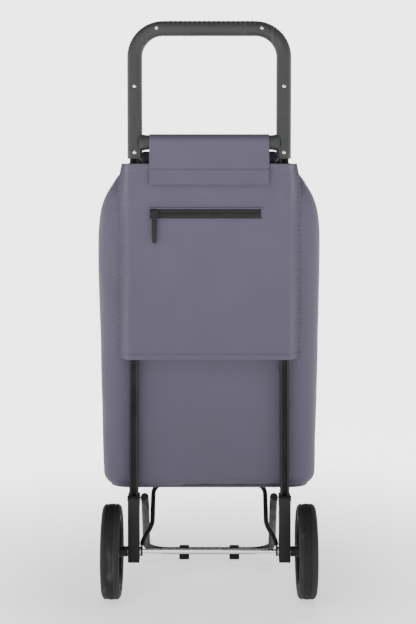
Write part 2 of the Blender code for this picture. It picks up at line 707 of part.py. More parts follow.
def make_zip():
    tape_y = SLEEVE_REAR - GAP - ZIP_TAPE_THICKNESS / 2
    middle = (ZIP_LEFT + ZIP_RIGHT) / 2
    add_object("zip_tape", box_mesh((ZIP_RIGHT - ZIP_LEFT, ZIP_TAPE_THICKNESS, ZIP_HEIGHT)),
               BLACK_PLASTIC, None, (middle, tape_y, ZIP_Z))
    slider_y = tape_y - ZIP_TAPE_THICKNESS / 2 - GAP - SLIDER_SIZE.y / 2
    pivot = add_pivot("slider_path", (SLIDER_X, slider_y, ZIP_Z))
    slider = add_object("zip_slider", box_mesh(SLIDER_SIZE), BLACK_PLASTIC, pivot,
                        (SLIDER_X, slider_y, ZIP_Z))
    round_edges(slider, 0.0012, 2)
    pull_y = slider_y - SLIDER_SIZE.y / 2 - GAP - PULL_SIZE.y / 2 - PULL_SLACK
    hinge = add_pivot("pull_pivot", (SLIDER_X, pull_y, PULL_HINGE_Z))
    pull = add_object("zip_pull", box_mesh(PULL_SIZE), BLACK_PLASTIC, hinge,
                      (SLIDER_X, pull_y, PULL_HINGE_Z - PULL_SIZE.z / 2 + 0.001))
    round_edges(pull, 0.0008, 2)


# ---------------------------------------------------------------- build

clear_scene()
PARTS = make_collection("folding_shopping_trolley")
CUTTERS = make_collection("cutters")
SIDES = (("left", -1), ("right", 1))
BLACK_METAL = material("black_metal", (0.018, 0.018, 0.020), 0.38, 0.4)
BLACK_PLASTIC = material("black_plastic", (0.015, 0.015, 0.016), 0.5)
GREY_PLASTIC = material("grey_plastic", (0.06, 0.06, 0.065), 0.5)
CHROME = material("chrome", (0.75, 0.75, 0.77), 0.15, 1.0)
RUBBER = material("rubber", (0.05, 0.05, 0.052), 0.8)
FABRIC = material("fabric", (0.16, 0.15, 0.20), 0.6)

make_uprights()
make_handle()
make_crossbar()
make_brackets()
make_axle()
make_wheels()
make_foot()
make_hoop()
make_bag()
make_base_board()
make_sleeve()
make_lid()
make_crossbar_strap()
make_zip()
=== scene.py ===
"""Looks of the folding shopping trolley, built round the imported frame. Metres, +Z up, +Y to the bag."""
import json
import math

import bmesh
import bpy
import numpy as np
from mathutils import Matrix, Vector, noise

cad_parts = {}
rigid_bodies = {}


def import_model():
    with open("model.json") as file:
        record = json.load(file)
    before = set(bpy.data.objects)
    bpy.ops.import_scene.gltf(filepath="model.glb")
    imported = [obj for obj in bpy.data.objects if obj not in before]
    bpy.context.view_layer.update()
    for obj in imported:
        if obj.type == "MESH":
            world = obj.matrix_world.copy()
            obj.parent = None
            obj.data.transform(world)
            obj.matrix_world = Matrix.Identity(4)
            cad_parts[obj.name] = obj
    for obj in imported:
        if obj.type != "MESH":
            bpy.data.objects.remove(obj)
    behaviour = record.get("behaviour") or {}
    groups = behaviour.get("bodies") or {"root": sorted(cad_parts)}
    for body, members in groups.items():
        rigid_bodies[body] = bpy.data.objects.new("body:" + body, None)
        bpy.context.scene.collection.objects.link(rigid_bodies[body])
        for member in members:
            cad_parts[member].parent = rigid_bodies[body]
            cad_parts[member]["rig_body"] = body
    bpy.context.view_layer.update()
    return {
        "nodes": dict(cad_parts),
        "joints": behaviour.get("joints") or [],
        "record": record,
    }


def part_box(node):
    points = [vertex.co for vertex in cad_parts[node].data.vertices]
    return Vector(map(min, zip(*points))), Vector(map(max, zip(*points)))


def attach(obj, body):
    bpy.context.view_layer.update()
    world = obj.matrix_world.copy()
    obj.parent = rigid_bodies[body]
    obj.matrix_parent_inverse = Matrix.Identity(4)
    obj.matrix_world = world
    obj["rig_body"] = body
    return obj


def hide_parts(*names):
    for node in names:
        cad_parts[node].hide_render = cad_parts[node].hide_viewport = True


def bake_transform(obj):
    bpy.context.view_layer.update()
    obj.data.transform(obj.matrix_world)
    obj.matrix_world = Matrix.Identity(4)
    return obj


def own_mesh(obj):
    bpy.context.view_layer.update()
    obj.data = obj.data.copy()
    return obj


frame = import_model()

# ---------------------------------------------------------------- places read from the frame
NODES = frame["nodes"]
JOINTS = {joint["name"]: joint for joint in frame["joints"]}
AXLE = Vector(JOINTS["wheel_right_spin"]["pos_m"])
TAIL_HINGE = Vector(JOINTS["tail_lift"]["pos_m"])
LID_HINGE = Vector(JOINTS["lid_open"]["pos_m"])
BAG_LOW, BAG_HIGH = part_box("bag_body")
SLEEVE_LOW, SLEEVE_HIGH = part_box("back_sleeve")
LID_LOW, LID_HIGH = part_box("lid_panel")
HANDLE_LOW, HANDLE_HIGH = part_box("handle_rear_shell")
CROSSBAR_LOW, CROSSBAR_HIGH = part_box("handle_crossbar")
WRAP_LOW, WRAP_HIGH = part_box("crossbar_wrap")
TAIL_LOW, TAIL_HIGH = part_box("flap_tail")
TAPE_LOW, TAPE_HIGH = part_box("zip_tape")
SIDES = (("left", -1), ("right", 1))

LID_FOLD_DEPTH = 0.024           # from the axle, in front of the legs of the handle
LID_ANCHOR = (0, AXLE.y + LID_FOLD_DEPTH, 0)
CLOTH = 0.0016                   # thickness of the coated cloth
CORNER_RADIUS = 0.040            # upright corners of the bag
FLOOR_PIPING = 0.0017
RIM_PIPING = 0.0021
FRONT_PIPING = 0.0015
LID_PIPING = 0.0016
STITCH_PITCH = 0.0036

# ---------------------------------------------------------------- materials


class Nodes:
    """Short names for building one material's node tree."""

    def __init__(self, name):
        self.material = bpy.data.materials.new(name)
        self.material.use_nodes = True
        self.tree = self.material.node_tree
        self.shader = self.tree.nodes["Principled BSDF"]
        self.coords = self.add("ShaderNodeTexCoord").outputs["Object"]

    def add(self, kind, **settings):
        node = self.tree.nodes.new(kind)
        for key, value in settings.items():
            setattr(node, key, value)
        return node

    def link(self, source, target):
        self.tree.links.new(source, target)

    def noise(self, scale, detail=3.0, stretch=(1, 1, 1)):
        mapping = self.add("ShaderNodeMapping")
        mapping.inputs["Scale"].default_value = stretch
        self.link(self.coords, mapping.inputs["Vector"])
        node = self.add("ShaderNodeTexNoise")
        node.inputs["Scale"].default_value = scale
        node.inputs["Detail"].default_value = detail
        self.link(mapping.outputs["Vector"], node.inputs["Vector"])
        return node.outputs["Fac"]

    def bands(self, pitch, direction):
        node = self.add("ShaderNodeTexWave", wave_type="BANDS", bands_direction=direction)
        node.inputs["Scale"].default_value = 0.314 / pitch
        node.inputs["Distortion"].default_value = 0.0
        self.link(self.coords, node.inputs["Vector"])
        return node.outputs["Fac"]

    def math(self, operation, first, second):
        node = self.add("ShaderNodeMath", operation=operation)
        for socket, value in zip(node.inputs, (first, second)):
            if isinstance(value, (int, float)):
                socket.default_value = value
            else:
                self.link(value, socket)
        return node.outputs[0]

    def ramp(self, source, low, high, start=0.3, end=0.7):
        node = self.add("ShaderNodeValToRGB")
        node.color_ramp.elements[0].position = start
        node.color_ramp.elements[1].position = end
        node.color_ramp.elements[0].color = (*low, 1)
        node.color_ramp.elements[1].color = (*high, 1)
        self.link(source, node.inputs["Fac"])
        return node.outputs["Color"]

    def range(self, source, low, high, start=0.3, end=0.7):
        node = self.add("ShaderNodeMapRange")
        node.inputs["From Min"].default_value = start
        node.inputs["From Max"].default_value = end
        node.inputs["To Min"].default_value = low
        node.inputs["To Max"].default_value = high
        self.link(source, node.inputs["Value"])
        return node.outputs["Result"]

    def bump(self, height, strength, distance, below=None):
        node = self.add("ShaderNodeBump")
        node.inputs["Strength"].default_value = strength
        node.inputs["Distance"].default_value = distance
        self.link(height, node.inputs["Height"])
        if below is not None:
            self.link(below, node.inputs["Normal"])
        return node.outputs["Normal"]

    def finish(self, colour, roughness, normal, **sockets):
        self.link(colour, self.shader.inputs["Base Color"])
        self.link(roughness, self.shader.inputs["Roughness"])
        self.link(normal, self.shader.inputs["Normal"])
        for key, value in sockets.items():
            self.shader.inputs[key.replace("_", " ")].default_value = value
        return self.material


def tinted(colour, share):
    return tuple(channel * share for channel in colour)


def cloth_material(name, colour, sheen=0.25):
    """Coated polyester: fine plain weave, soft mottling and slightly uneven gloss."""
    nodes = Nodes(name)
    weave = nodes.math("MULTIPLY", nodes.bands(0.0011, "X"), nodes.bands(0.0011, "Z"))
    mottle = nodes.noise(9, 4)
    creases = nodes.noise(26, 5, (1, 1, 0.45))
    tone = nodes.ramp(mottle, tinted(colour, 0.93), tinted(colour, 1.06))
    threads = nodes.add("ShaderNodeMixRGB", blend_type="MULTIPLY")
    threads.inputs["Fac"].default_value = 0.5
    nodes.link(tone, threads.inputs["Color1"])
    nodes.link(nodes.ramp(weave, (0.86, 0.86, 0.88), (1, 1, 1), 0, 1), threads.inputs["Color2"])
    normal = nodes.bump(creases, 0.22, 0.004)
    normal = nodes.bump(weave, 0.30, 0.0003, normal)
    return nodes.finish(threads.outputs["Color"], nodes.range(mottle, 0.52, 0.66), normal,
                        Sheen_Weight=sheen, Sheen_Roughness=0.45, Specular_IOR_Level=0.16)


def moulded_material(name, colour, roughness, grain, depth, scratches=0.15):
    """Moulded plastic or rubber: fine grain, faint tone change and light scuffs."""
    nodes = Nodes(name)
    fine = nodes.noise(grain, 2)
    broad = nodes.noise(14, 4)
    scuffs = nodes.noise(60, 6, (1, 1, 0.12))
    tone = nodes.ramp(broad, tinted(colour, 0.88), tinted(colour, 1.12))
    worn = nodes.add("ShaderNodeMixRGB", blend_type="SCREEN")
    worn.inputs["Fac"].default_value = scratches
    nodes.link(tone, worn.inputs["Color1"])
    nodes.link(nodes.ramp(scuffs, (0, 0, 0), (0.12, 0.12, 0.12), 0.62, 0.78), worn.inputs["Color2"])
    normal = nodes.bump(fine, 0.35, depth)
    return nodes.finish(worn.outputs["Color"], nodes.range(broad, roughness - 0.06, roughness + 0.08),
                        normal, Specular_IOR_Level=0.12)


def metal_material(name, colour, roughness, metallic, grain=(1, 1, 1)):
    """Plated or coated metal: drawn lines, fingerprints in the gloss."""
    nodes = Nodes(name)
    lines = nodes.noise(420, 2, grain)
    smears = nodes.noise(22, 5)
    tone = nodes.ramp(smears, tinted(colour, 0.92), colour)
    normal = nodes.bump(lines, 0.12, 0.0002)
    return nodes.finish(tone, nodes.range(smears, roughness * 0.8, roughness * 1.35), normal,
                        Metallic=metallic, Specular_IOR_Level=0.16)


FABRIC = cloth_material("coated_polyester", (0.061, 0.0555, 0.081), 0.03)
LINING = cloth_material("bag_lining", (0.045, 0.043, 0.055), 0.1)
BINDING = cloth_material("dark_binding", (0.050, 0.048, 0.062), 0.2)
THREAD = cloth_material("sewing_thread", (0.092, 0.085, 0.120), 0.05)
ZIP_CLOTH = cloth_material("zip_tape_weave", (0.008, 0.008, 0.009), 0.0)
GREY_PLASTIC = moulded_material("grey_grained_plastic", (0.026, 0.0265, 0.027), 0.46, 1500, 0.0003)
BLACK_PLASTIC = moulded_material("black_moulded_plastic", (0.010, 0.010, 0.011), 0.42, 1300, 0.0002)
TYRE = moulded_material("tyre_rubber", (0.020, 0.020, 0.020), 0.66, 900, 0.0004, 0.30)
RUBBER = moulded_material("foot_rubber", (0.011, 0.011, 0.012), 0.72, 800, 0.0004, 0.3)
BLACK_METAL = metal_material("black_coated_metal", (0.010, 0.010, 0.011), 0.50, 0.0, (1, 1, 0.05))
CHROME = metal_material("bright_plating", (0.58, 0.61, 0.60), 0.16, 1.0, (0.05, 1, 1))
CAD_FINISH = {"black_metal": BLACK_METAL, "black_plastic": BLACK_PLASTIC, "chrome": CHROME,
              "grey_plastic": GREY_PLASTIC, "tyre": TYRE, "rubber": RUBBER, "fabric": FABRIC,
              "zip_black": BLACK_PLASTIC}
NODE_SLOT = {part["node"]: part["material_slot"] for part in frame["record"]["subparts"]}

# ---------------------------------------------------------------- mesh helpers


def new_piece(name, mesh, finish, extra=()):
    made = bpy.data.objects.new(name, mesh)
    bpy.context.scene.collection.objects.link(made)
    mesh.materials.clear()
    for material in (finish, *extra):
        mesh.materials.append(material)
    return made


def smooth(mesh, angle=40):
    mesh.shade_smooth()
    mesh.set_sharp_from_angle(angle=math.radians(angle))


def bake(piece):
    """Apply a piece's modifiers, so that its mesh is final."""
    bpy.context.view_layer.update()
    evaluated = piece.evaluated_get(bpy.context.evaluated_depsgraph_get())
    mesh = bpy.data.meshes.new_from_object(evaluated)
    piece.modifiers.clear()
    piece.data = mesh
    return piece


def grid_mesh(rows, closed=False, cap=False):
    """Quads through rows of points; closed joins each row's ends, cap fills the first row."""
    mesh = bpy.data.meshes.new("grid")
    shape = bmesh.new()
    verts = [[shape.verts.new(point) for point in row] for row in rows]
    count = len(rows[0])
    last = count if closed else count - 1
    for low, high in zip(verts, verts[1:]):
        for i in range(last):
            after = (i + 1) % count
            shape.faces.new((low[i], low[after], high[after], high[i]))
    if cap:
        shape.faces.new(verts[0][::-1])
    shape.to_mesh(mesh)
    shape.free()
    return mesh


def thicken(piece, thickness, offset=-1, inner=0):
    solid = piece.modifiers.new("cloth", "SOLIDIFY")
    solid.thickness = thickness
    solid.offset = offset
    solid.material_offset = inner
    return bake(piece)


def tube(name, points, radius, finish, closed=False, sides=10):
    """Round piping or wire along points."""
    curve = bpy.data.curves.new(name, "CURVE")
    curve.dimensions = "3D"
    curve.bevel_depth = radius
    curve.bevel_resolution = sides // 2 - 2
    curve.use_fill_caps = True
    spline = curve.splines.new("POLY")
    spline.points.add(len(points) - 1)
    for point, place in zip(spline.points, points):
        point.co = (*place, 1)
    spline.use_cyclic_u = closed
    made = bpy.data.objects.new(name, curve)
    bpy.context.scene.collection.objects.link(made)
    bpy.context.view_layer.update()
    evaluated = made.evaluated_get(bpy.context.evaluated_depsgraph_get())
    mesh = bpy.data.meshes.new_from_object(evaluated)
    bpy.data.objects.remove(made, do_unlink=True)
    weld(mesh)
    smooth(mesh, 50)
    return new_piece(name, mesh, finish)


def weld(mesh, distance=0.00001):
    shape = bmesh.new()
    shape.from_mesh(mesh)
    bmesh.ops.remove_doubles(shape, verts=shape.verts, dist=distance)
    shape.to_mesh(mesh)
    shape.free()


def turned_mesh(profile, steps):
    """Turn a closed (radius, x) profile about the X axis."""
    rows = []
    for step in range(steps):
        angle = 2 * math.pi * step / steps
        rows.append([(x, r * math.cos(angle), r * math.sin(angle)) for r, x in profile])
    mesh = grid_mesh(rows + [rows[0]], closed=True)
    weld(mesh)
    face_out(mesh)
    return mesh


def face_out(mesh):
    shape = bmesh.new()
    shape.from_mesh(mesh)
    bmesh.ops.recalc_face_normals(shape, faces=shape.faces)
    shape.to_mesh(mesh)
    shape.free()


def arc(centre, radius, start, end, steps):
    angles = [math.radians(start + (end - start) * i / steps) for i in range(steps + 1)]
    return [(centre[0] + radius * math.cos(a), centre[1] + radius * math.sin(a)) for a in angles]


def spaced(points, pitch):
    """Places and directions at an even pitch along a line of points."""
    points = [Vector(point) for point in points]
    found = []
    travelled = 0.0
    wanted = pitch / 2
    for start, end in zip(points, points[1:]):
        length = (end - start).length
        while length > 0 and wanted <= travelled + length:
            along = (wanted - travelled) / length
            found.append((start.lerp(end, along), (end - start).normalized()))
            wanted += pitch
        travelled += length
    return found


def stitches(name, lines, out, body, fold_at=None, width=0.0007):
    """Rows of raised thread stitches along lines that lie on the cloth."""
    shape = bmesh.new()
    out = Vector(out)
    for line in lines:
        for place, along in spaced(line, STITCH_PITCH):
            across = out.cross(along).normalized()
            turn = Matrix((along, across, out)).transposed().to_4x4()
            size = Matrix.Diagonal((STITCH_PITCH * 0.36, width / 2, 0.00035, 1))
            place = Matrix.Translation(place + out * 0.0001)
            bmesh.ops.create_icosphere(shape, subdivisions=1, radius=1, matrix=place @ turn @ size)
    mesh = bpy.data.meshes.new(name)
    shape.to_mesh(mesh)
    shape.free()
    smooth(mesh, 80)
    piece = new_piece(name, mesh, THREAD)
    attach(piece, body)
    if fold_at:
        fold_flat(piece)
    return piece


def fold_flat(piece):
    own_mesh(piece)


def refine(node, bevel, name=None, finish=None, angle=35):
    """A cleaner copy of a CAD piece: welded, edges rounded, smooth on its curved faces."""
    mesh = NODES[node].data.copy()
    weld(mesh)
    shape = bmesh.new()
    shape.from_mesh(mesh)
    bmesh.ops.dissolve_limit(shape, angle_limit=math.radians(1), verts=shape.verts,
                             edges=shape.edges)
    shape.to_mesh(mesh)
    shape.free()
    slot = NODE_SLOT[node]
    piece = new_piece(name or f"{node}_fine", mesh, finish or CAD_FINISH[slot])
    if bevel:
        rounding = piece.modifiers.new("rounding", "BEVEL")
        rounding.width = bevel
        rounding.segments = 3
        rounding.limit_method = "ANGLE"
        rounding.angle_limit = math.radians(angle)
        rounding.use_clamp_overlap = True
        bake(piece)
    smooth(piece.data, angle)
    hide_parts(node)
    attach(piece, NODES[node]["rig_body"])
    return piece


# ---------------------------------------------------------------- bag


def bag_profile():
    """Heights, half widths, rears and fronts of the bag solid above its rounded floor edge."""
    rows = {}
    for vertex in NODES["bag_body"].data.vertices:
        rows.setdefault(round(vertex.co.z, 3), []).append(vertex.co)
    heights = sorted(height for height in rows if height > BAG_LOW.z + 0.024)
    widths = [max(point.x for point in rows[height]) for height in heights]
    rears = [min(point.y for point in rows[height]) for height in heights]
    fronts = [max(point.y for point in rows[height]) for height in heights]
    return heights, widths, rears, fronts


def softened(values, reach):
    """Running mean that keeps both ends."""
    values = np.array(values)
    out = values.copy()
    for i in range(len(values)):
        span = min(reach, i, len(values) - 1 - i)
        out[i] = values[i - span:i + span + 1].mean()
    return out


def ring(half_width, rear, front, radius, height, across=30, along=18, corner=10):
    """Rounded rectangle with the same number of points at every size, left to right at the rear."""
    low = rear + radius
    high = front - radius
    edge = half_width - radius
    points = [(x, rear) for x in np.linspace(-edge, edge, across)[1:-1]]
    points += arc((edge, low), radius, -90, 0, corner)
    points += [(half_width, y) for y in np.linspace(low, high, along)[1:-1]]
    points += arc((edge, high), radius, 0, 90, corner)
    points += [(x, front) for x in np.linspace(edge, -edge, across)[1:-1]]
    points += arc((-edge, high), radius, 90, 180, corner)
    points += [(-half_width, y) for y in np.linspace(high, low, along)[1:-1]]
    points += arc((-edge, low), radius, 180, 270, corner)
    return [Vector((x, y, height)) for x, y in points]


def cloth_waves(point):
    """Soft hand-made unevenness of the filled bag, outwards, in metres."""
    height = (point.z - BAG_LOW.z) / (BAG_HIGH.z - BAG_LOW.z)
    broad = noise.noise(Vector((point.x * 7, point.y * 9, point.z * 4)))
    folds = noise.noise(Vector((point.x * 26 + point.z * 12, point.y * 24, point.z * 9 + 5)))
    pull = math.exp(-((height - 0.97) / 0.10) ** 2) + 0.8 * math.exp(-((height - 0.04) / 0.09) ** 2)
    vertical = noise.noise(Vector((point.x * 45, point.y * 45, point.z * 3 + 9)))
    return 0.0016 * broad + 0.0009 * folds + 0.0022 * vertical * pull


def bag_rows():
    heights, widths, rears, fronts = bag_profile()
    radius = heights[0] - BAG_LOW.z
    levels = np.linspace(heights[0], heights[-1], 110)
    width = softened(np.interp(levels, heights, widths), 7)
    rear = softened(np.interp(levels, heights, rears), 3)
    front = softened(np.interp(levels, heights, fronts), 7)
    rows = []
    middle = (rear[0] + front[0]) / 2
    for share in np.linspace(0.12, 0.94, 9):
        half = (width[0] - radius) * share
        depth = (front[0] - rear[0] - 2 * radius) / 2 * share
        rows.append(ring(half, middle - depth, middle + depth, CORNER_RADIUS * 0.4 * share,
                         BAG_LOW.z))
    for step in range(9):
        angle = math.pi / 2 * step / 9
        inset = radius * (1 - math.sin(angle))
        rows.append(ring(width[0] - inset, rear[0] + inset, front[0] - inset,
                         CORNER_RADIUS - inset * 0.6, BAG_LOW.z + radius * (1 - math.cos(angle))))
    for level, half, low, high in zip(levels, width, rear, front):
        rows.append(ring(half, low, high, CORNER_RADIUS, level))
    return rows


def shape_bag(rows):
    """Move every point of the bag along its panel's outward direction."""
    centre_y = (BAG_LOW.y + BAG_HIGH.y) / 2
    for row in rows:
        for point in row:
            side = max(0.0, abs(point.x) / BAG_HIGH.x - 0.75) * 4
            facing = Vector((math.copysign(side, point.x), 1.0 if point.y > centre_y else -1.0, 0))
            amount = cloth_waves(point)
            if point.z < BAG_LOW.z + 0.004:
                amount = 0
            if facing.y < 0 and abs(point.x) < BAG_HIGH.x * 0.8:
                amount = min(amount, 0.0008)
            point += facing.normalized() * amount
    return rows


def make_bag():
    rows = shape_bag(bag_rows())
    bag = new_piece("bag_cloth", grid_mesh(rows, closed=True, cap=True), FABRIC, (LINING,))
    face_out(bag.data)
    smooth(bag.data, 60)
    thicken(bag, CLOTH, -1, 1)
    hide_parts("bag_body")
    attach(bag, "frame")
    fold_flat(bag)
    floor_row = rows[12]
    piping = tube("bag_bottom_piping", [p + Vector((0, 0, -0.0004)) for p in floor_row], FLOOR_PIPING,
                  BINDING, True)
    rim = tube("bag_rim_binding", rows[-1], RIM_PIPING, BINDING, True)
    edges = [piping, rim]
    for side, sign in SIDES:
        line = [max(row, key=lambda p: sign * p.x * 0.9 + p.y) for row in rows[14:-2]]
        line = [Vector((np.mean([q.x for q in line[max(i - 4, 0):i + 5]]),
                        np.mean([q.y for q in line[max(i - 4, 0):i + 5]]), p.z))
                for i, p in enumerate(line)]
        edges.append(tube(f"bag_front_piping_{side}", line, FRONT_PIPING, BINDING))
    for edge in edges:
        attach(edge, "frame")
        fold_flat(edge)
    return rows


# ---------------------------------------------------------------- sleeve round the uprights


SLEEVE_BEND_START = 0.1365       # the back panel is flat up to here, round the uprights
SLEEVE_BEND_END = 0.1560         # and lies on the bag from here to its seam
SEAM_X = 0.1590
SEAM_TOP_X = 0.1520
PUCKER_PITCH = 0.0075
HEM_DEPTH = 0.010
HEM_RISE = 0.0005
UPRIGHT_MIDDLE_X = 0.1290        # where the uprights press through the cloth
TOP_ROLL_RADIUS = 0.0020


def seam_x(z):
    """Half width of the panel at its side seam, narrower at the shoulders."""
    share = max(0.0, min(1.0, (z - (SLEEVE_HIGH.z - 0.060)) / 0.060))
    return SEAM_X + (SEAM_TOP_X - SEAM_X) * share ** 2


def sleeve_depth(x, z):
    """Distance of the panel from its rearmost plane, before its relief."""
    end = SLEEVE_BEND_END * seam_x(z) / SEAM_X
    share = max(0.0, min(1.0, (abs(x) - SLEEVE_BEND_START) / (end - SLEEVE_BEND_START)))
    return (SLEEVE_HIGH.y - 0.0014 - SLEEVE_LOW.y) * share * share * (3 - 2 * share)


def sleeve_relief(x, z):
    """Height of the cloth outwards: uprights behind it, puckered side seams and hems."""
    upright = math.exp(-((abs(x) - UPRIGHT_MIDDLE_X) / 0.0085) ** 2)
    tension = noise.noise(Vector((x * 8, 1, z * 6)))
    crease = noise.noise(Vector((x * 34, 4, z * 5)))
    amount = 0.0011 * upright + 0.0014 * tension + 0.0005 * crease - 0.0012
    from_seam = seam_x(z) - abs(x)
    pucker = math.exp(-((from_seam - 0.0035) / 0.0030) ** 2)
    ladder = math.sin(2 * math.pi * z / PUCKER_PITCH + 5 * noise.noise(Vector((x, 7, z * 30))))
    amount += 0.0006 * pucker * ladder
    amount += 0.0006 * math.exp(-from_seam / 0.010) * noise.noise(Vector((x * 25, 3, z * 85)))
    for distance in (z - SLEEVE_LOW.z, SLEEVE_HIGH.z - z):
        amount += HEM_RISE * (1 if distance < HEM_DEPTH else 0)
        amount -= HEM_RISE * math.exp(-((distance - HEM_DEPTH - 0.001) / 0.0012) ** 2)
    zip_z = (TAPE_LOW.z + TAPE_HIGH.z) / 2
    if TAPE_LOW.x - 0.012 < x < TAPE_HIGH.x + 0.012:
        amount *= min(1.0, abs(z - zip_z) / 0.03)
    return max(-0.0030, min(amount, 0.0016))


def on_panel(x, z, lift=0.0):
    return Vector((x, SLEEVE_LOW.y + sleeve_depth(x, z) - sleeve_relief(x, z) - lift, z))


def make_sleeve():
    rows = []
    for z in np.linspace(SLEEVE_LOW.z, SLEEVE_HIGH.z, 240):
        rows.append([on_panel(share * seam_x(z), z) for share in np.linspace(-1, 1, 190)])
    sleeve = new_piece("sleeve_cloth", grid_mesh(rows), FABRIC, (LINING,))
    smooth(sleeve.data, 70)
    thicken(sleeve, CLOTH * 0.8, -1, 1)
    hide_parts("back_sleeve")
    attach(sleeve, "frame")
    lines = []
    for inset in (0.0020, 0.0058):
        lines += [[on_panel(sign * (seam_x(z) - inset), z, 0.0001)
                   for z in np.linspace(SLEEVE_LOW.z, SLEEVE_HIGH.z, 120)] for _, sign in SIDES]
    for z in (SLEEVE_LOW.z + HEM_DEPTH - 0.0015, SLEEVE_HIGH.z - HEM_DEPTH + 0.0015):
        lines.append([on_panel(x, z, 0.0001) for x in np.linspace(-SEAM_TOP_X, SEAM_TOP_X, 80)])
    stitches("sleeve_stitching", lines, (0, -1, 0), "frame")
    lip = [on_panel(x, SLEEVE_HIGH.z, -0.0008) for x in np.linspace(-SEAM_TOP_X, SEAM_TOP_X, 80)]
    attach(tube("sleeve_top_roll", lip, TOP_ROLL_RADIUS, FABRIC), "frame")


# ---------------------------------------------------------------- strap over the crossbar


STRAP_HEM = 0.0265               # depth of the folded hem at the tail's end
STRAP_STAND_OFF = 0.0034         # how far the tail's end hangs clear of the sleeve


def strap_skin(z, top):
    """Rear face of the hanging tail at a height."""
    drop = (top - z) / (top - TAIL_LOW.z)
    return TAIL_HINGE.y - CLOTH * 0.43 - 0.0008 - STRAP_STAND_OFF * drop ** 1.6


def make_strap():
    """One cloth from the bag, over the crossbar and down behind."""
    centre = Vector((0, AXLE.y, (CROSSBAR_LOW.z + CROSSBAR_HIGH.z) / 2))
    radius = centre.y - TAIL_HINGE.y
    front = [(radius, z - centre.z) for z in np.linspace(WRAP_LOW.z, centre.z, 12)[:-1]]
    over = arc((0, 0), radius, 0, 180, 30)
    down = [(-radius, z - centre.z) for z in np.linspace(centre.z, TAIL_LOW.z, 44)[1:]]
    line = front + over + down
    half = WRAP_HIGH.x
    rows = []
    for index, (y, z) in enumerate(line):
        drop = max(0, index - len(front) - len(over)) / len(down)
        row = []
        for x in np.linspace(-half, half, 90):
            wave = 0.0010 * drop * math.sin(x * 34 + 0.8) + 0.0007 * drop * math.sin(x * 83)
            height = z + centre.z - TAIL_LOW.z
            hem = 0.0008 if height < STRAP_HEM else 0.0
            hem -= 0.0006 * math.exp(-((height - STRAP_HEM - 0.0012) / 0.0012) ** 2)
            stand_off = STRAP_STAND_OFF * drop ** 1.6
            row.append(Vector((x, centre.y + y - max(0.0, wave) - hem * min(1.0, drop * 3) - stand_off,
                               z + centre.z)))
        rows.append(row)
    strap = new_piece("strap_cloth", grid_mesh([row[::-1] for row in rows]), FABRIC, (LINING,))
    smooth(strap.data, 70)
    thicken(strap, CLOTH * 0.85, 0, 1)
    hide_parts("crossbar_wrap", "flap_tail")
    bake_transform(strap)
    hem = []
    for seam_z in (TAIL_LOW.z + STRAP_HEM - 0.0025, TAIL_LOW.z + 0.0030):
        hem.append([Vector((x, strap_skin(seam_z, centre.z), seam_z))
                    for x in np.linspace(-half + 0.004, half - 0.004, 60)])
    for _, sign in SIDES:
        hem.append([Vector((sign * (half - 0.0040), strap_skin(z, centre.z) + 0.0004, z))
                    for z in np.linspace(TAIL_LOW.z + 0.004, TAIL_HINGE.z - 0.012, 30)])
    stitches("strap_stitching", hem, (0, -1, 0), "tail")


# ---------------------------------------------------------------- lid


LID_SIDE_FALL = 0.024            # how far the lid's sides fall over the bag
ROLL_HALF_WIDTH = 0.122          # the lid's sewn fold, between the legs of the handle
ROLL_RADIUS = (0.0095, 0.0105)   # in depth and in height


def make_lid_roll():
    """Soft roll of cloth where the lid is sewn to the back of the bag."""
    centre = Vector((0, LID_HINGE.y - 0.0030, LID_HINGE.z + 0.0050))
    rows = []
    for x in np.linspace(-ROLL_HALF_WIDTH, ROLL_HALF_WIDTH, 90):
        end = min(1.0, (ROLL_HALF_WIDTH - abs(x)) / 0.010)
        swell = math.sqrt(max(0.0004, 1 - (1 - end) ** 2))
        swell *= 1 + 0.10 * noise.noise(Vector((x * 22, 2, 5)))
        rows.append([centre + Vector((x, ROLL_RADIUS[0] * swell * math.cos(angle),
                                      ROLL_RADIUS[1] * swell * math.sin(angle)))
                     for angle in np.linspace(0, 2 * math.pi, 28, endpoint=False)])
    mesh = grid_mesh(rows, closed=True, cap=True)
    shape = bmesh.new()
    shape.from_mesh(mesh)
    bmesh.ops.holes_fill(shape, edges=[edge for edge in shape.edges if edge.is_boundary])
    bmesh.ops.recalc_face_normals(shape, faces=shape.faces)
    shape.to_mesh(mesh)
    shape.free()
    smooth(mesh, 70)
    roll = new_piece("lid_rear_roll", mesh, FABRIC)
    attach(roll, "frame")
    fold_flat(roll)


def lid_line():
    """Middle of the lid from its hinge over the top and down the front, in y and z."""
    top = LID_HIGH.z - 0.0015
    drop_y = LID_HIGH.y - 0.0015
    back_y = LID_HINGE.y
    bend = 0.036
    crown = []
    for share in np.linspace(0, 1, 40):
        y = back_y + (drop_y - bend - back_y) * share
        rise = (top - LID_HINGE.z) * math.sin(math.pi / 2 * min(1.0, share * 1.9)) ** 0.9
        crown.append((y, LID_HINGE.z + rise - 0.0015 * share))
    corner = arc((drop_y - bend, crown[-1][1] - bend), bend, 90, 0, 12)[1:]
    fall = [(drop_y, z) for z in np.linspace(corner[-1][1], LID_LOW.z, 26)[1:]]
    return crown + corner + fall


